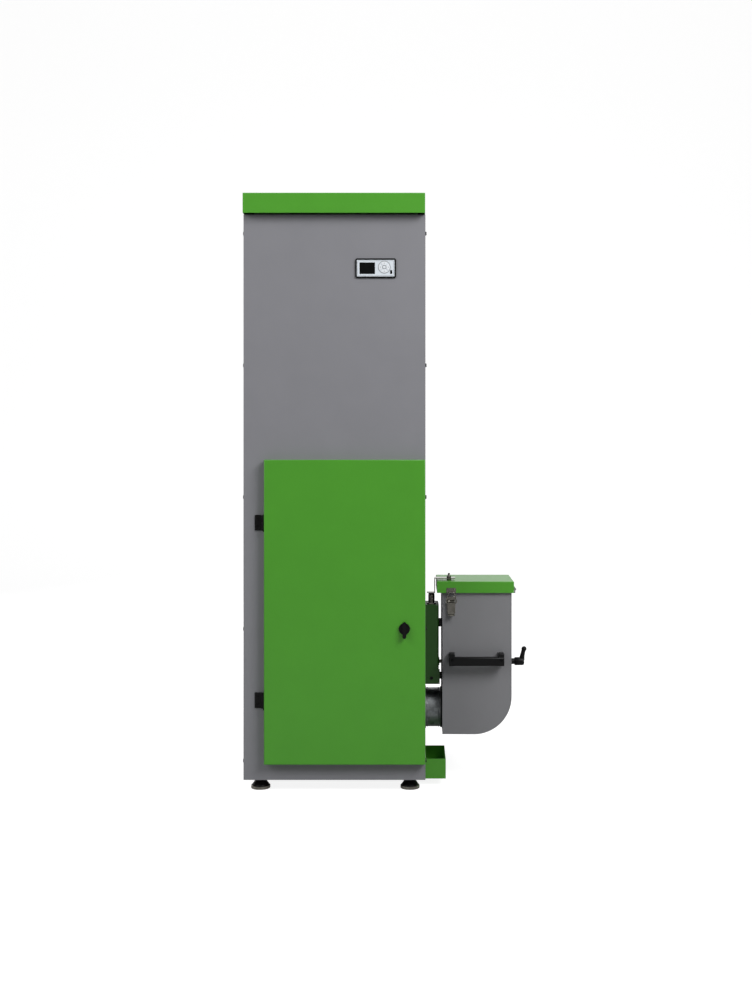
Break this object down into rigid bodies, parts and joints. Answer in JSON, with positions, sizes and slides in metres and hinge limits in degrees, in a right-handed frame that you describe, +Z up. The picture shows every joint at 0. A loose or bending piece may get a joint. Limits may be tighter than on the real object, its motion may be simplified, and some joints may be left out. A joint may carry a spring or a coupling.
{
  "type": "pellet boiler",
  "caption": "Tall floor-standing pellet boiler: grey casing with hinged green roof and door, front display, and a lidded ash bin docked on its right side.",
  "frame": {"origin": "middle of the whole footprint, ash bin and clamping lever included, on the floor", "axes": "+Z up; the front with door and display faces -Y; the ash bin is on the +X side"},
  "size_m": [0.752, 0.7844, 1.542],
  "materials": {
    "casing_paint": "fine-textured grey powder coat",
    "green_paint": "satin green powder coat",
    "dark_green_paint": "satin green powder coat in the shade",
    "bin_paint": "fine-textured grey powder coat",
    "mild_steel": "hot-rolled, matt",
    "zinc_steel": "zinc plated",
    "galvanised": "galvanised sheet",
    "cast_iron": "as cast",
    "brass": "turned",
    "refractory": "pressed vermiculite",
    "mineral_wool": "needled mat",
    "black_plastic": "moulded, fine grain",
    "grey_plastic": "moulded",
    "silver_plastic": "printed film, silver grey",
    "key_plastic": "moulded, light grey",
    "screen": "gloss black",
    "rubber": "matt",
    "foam": "closed-cell foam",
    "red_paint": "gloss red",
    "motor_paint": "die cast"
  },
  "bodies": {
    "casing": {"frame": "mild_steel", "front_panel": "casing_paint", "side_panel_left": "casing_paint", "side_panel_right": "casing_paint", "back_panel": "casing_paint", "panel_screws": "black_plastic", "hopper": "galvanised", "boiler_vessel": "mild_steel", "vessel_insulation": "mineral_wool", "firebox_liner": "refractory", "vessel_covers": "mild_steel", "burner_pot": "cast_iron", "igniter": "refractory", "feed_tube": "galvanised", "drive_motors": "motor_paint", "ash_duct": "galvanised", "fan_housing": "galvanised", "water_pipes": "mild_steel", "circulation_pump": "red_paint", "expansion_tank": "red_paint", "safety_fittings": "brass", "control_box": "grey_plastic", "power_inlet": "black_plastic", "display_frame": "black_plastic", "display_fascia": "silver_plastic", "display_screen": "screen", "door_hinge_leaves": "black_plastic", "dock_bracket": "dark_green_paint", "dock_buffers": "rubber", "ash_sensor": "zinc_steel", "spill_tray": "green_paint"},
    "door": {"door_skin": "green_paint", "door_liner": "mineral_wool", "door_hinge_arms": "black_plastic"},
    "lock": {"door_lock": "black_plastic"},
    "roof": {"hopper_lid": "green_paint", "hopper_lid_seal": "foam"},
    "key_centre": {"key_centre": "key_plastic"},
    "key_right": {"key_right": "key_plastic"},
    "key_down": {"key_down": "key_plastic"},
    "key_left": {"key_left": "key_plastic"},
    "key_up": {"key_up": "key_plastic"},
    "rocker": {"main_switch": "black_plastic"},
    "feed_auger": {"feed_screw": "mild_steel"},
    "ash_auger": {"ash_screw": "mild_steel"},
    "fan": {"fan_wheel": "mild_steel"},
    "cleaner": {"cleaning_bar": "mild_steel"},
    "bin": {"ash_bin": "bin_paint", "bin_handles": "black_plastic", "latch_base": "zinc_steel"},
    "lid": {"bin_lid": "green_paint", "bin_lid_gasket": "foam", "lid_fittings": "zinc_steel"},
    "latch": {"latch_lever": "zinc_steel"},
    "bail": {"latch_bail": "zinc_steel"},
    "clamp": {"clamp_lever": "black_plastic"},
    "foot_front_left": {"foot_front_left": "zinc_steel"},
    "foot_front_right": {"foot_front_right": "zinc_steel"},
    "foot_back_left": {"foot_back_left": "zinc_steel"},
    "foot_back_right": {"foot_back_right": "zinc_steel"}
  },
  "joints": [
    {"name": "door_swing", "type": "hinge", "parent": "casing", "child": "door", "pos_m": [-0.322, -0.36085, 0.466], "axis": [0, 0, -1], "range_deg": [0, 110]},
    {"name": "lock_turn", "type": "hinge", "parent": "door", "child": "lock", "pos_m": [0.0427, -0.37785, 0.4238], "axis": [0, 1, 0], "range_deg": [0, 90]},
    {"name": "roof_lift", "type": "hinge", "parent": "casing", "child": "roof", "pos_m": [-0.138, 0.35305, 1.49025], "axis": [-1, 0, 0], "range_deg": [0, 80]},
    {"name": "key_centre_press", "type": "slide", "parent": "casing", "child": "key_centre", "axis": [0, 1, 0], "range_m": [0, 0.0006], "stiffness_N_per_m": 1000, "springref_m": -0.0004},
    {"name": "key_right_press", "type": "slide", "parent": "casing", "child": "key_right", "axis": [0, 1, 0], "range_m": [0, 0.0006], "stiffness_N_per_m": 1000, "springref_m": -0.0004},
    {"name": "key_down_press", "type": "slide", "parent": "casing", "child": "key_down", "axis": [0, 1, 0], "range_m": [0, 0.0006], "stiffness_N_per_m": 1000, "springref_m": -0.0004},
    {"name": "key_left_press", "type": "slide", "parent": "casing", "child": "key_left", "axis": [0, 1, 0], "range_m": [0, 0.0006], "stiffness_N_per_m": 1000, "springref_m": -0.0004},
    {"name": "key_up_press", "type": "slide", "parent": "casing", "child": "key_up", "axis": [0, 1, 0], "range_m": [0, 0.0006], "stiffness_N_per_m": 1000, "springref_m": -0.0004},
    {"name": "main_switch_rock", "type": "hinge", "parent": "casing", "child": "rocker", "pos_m": [0.032, 0.34315, 0.13], "axis": [0, 0, 1], "range_deg": [0, 16]},
    {"name": "feed_screw_turn", "type": "hinge", "parent": "casing", "child": "feed_auger", "pos_m": [-0.138, -0.22785, 0.96], "axis": [0, 1, 0], "continuous": true},
    {"name": "ash_screw_turn", "type": "hinge", "parent": "casing", "child": "ash_auger", "pos_m": [-0.138, -0.14785, 0.178], "axis": [1, 0, 0], "continuous": true},
    {"name": "fan_turn", "type": "hinge", "parent": "casing", "child": "fan", "pos_m": [-0.183, 0.17615, 0.2], "axis": [0, 1, 0], "continuous": true},
    {"name": "cleaning_lift", "type": "slide", "parent": "casing", "child": "cleaner", "axis": [0, 0, 1], "range_m": [0, 0.03]},
    {"name": "bin_undock", "type": "slide", "parent": "casing", "child": "bin", "axis": [1, 0, 0], "range_m": [0, 0.1]},
    {"name": "bin_lid_lift", "type": "hinge", "parent": "bin", "child": "lid", "pos_m": [0.3385, -0.14935, 0.508], "axis": [0, 1, 0], "range_deg": [0, 100]},
    {"name": "latch_open", "type": "hinge", "parent": "bin", "child": "latch", "pos_m": [0.1668, -0.24285, 0.478], "axis": [-1, 0, 0], "range_deg": [0, 120]},
    {"name": "bail_turn", "type": "hinge", "parent": "latch", "child": "bail", "pos_m": [0.1668, -0.24185, 0.473], "axis": [-1, 0, 0], "range_deg": [-120, 0]},
    {"name": "clamp_turn", "type": "hinge", "parent": "bin", "child": "clamp", "pos_m": [0.343, -0.14885, 0.303], "axis": [1, 0, 0], "continuous": true},
    {"name": "foot_front_left_turn", "type": "hinge", "parent": "casing", "child": "foot_front_left", "pos_m": [-0.333, -0.31285, 0], "axis": [0, 0, 1], "continuous": true},
    {"name": "foot_front_right_turn", "type": "hinge", "parent": "casing", "child": "foot_front_right", "pos_m": [0.057, -0.31285, 0], "axis": [0, 0, 1], "continuous": true},
    {"name": "foot_back_left_turn", "type": "hinge", "parent": "casing", "child": "foot_back_left", "pos_m": [-0.333, 0.30715, 0], "axis": [0, 0, 1], "continuous": true},
    {"name": "foot_back_right_turn", "type": "hinge", "parent": "casing", "child": "foot_back_right", "pos_m": [0.057, 0.30715, 0], "axis": [0, 0, 1], "continuous": true}
  ],
  "couplings": [
    {"joint": "bail_turn", "follows": "latch_open", "ratio": -1}
  ]
}
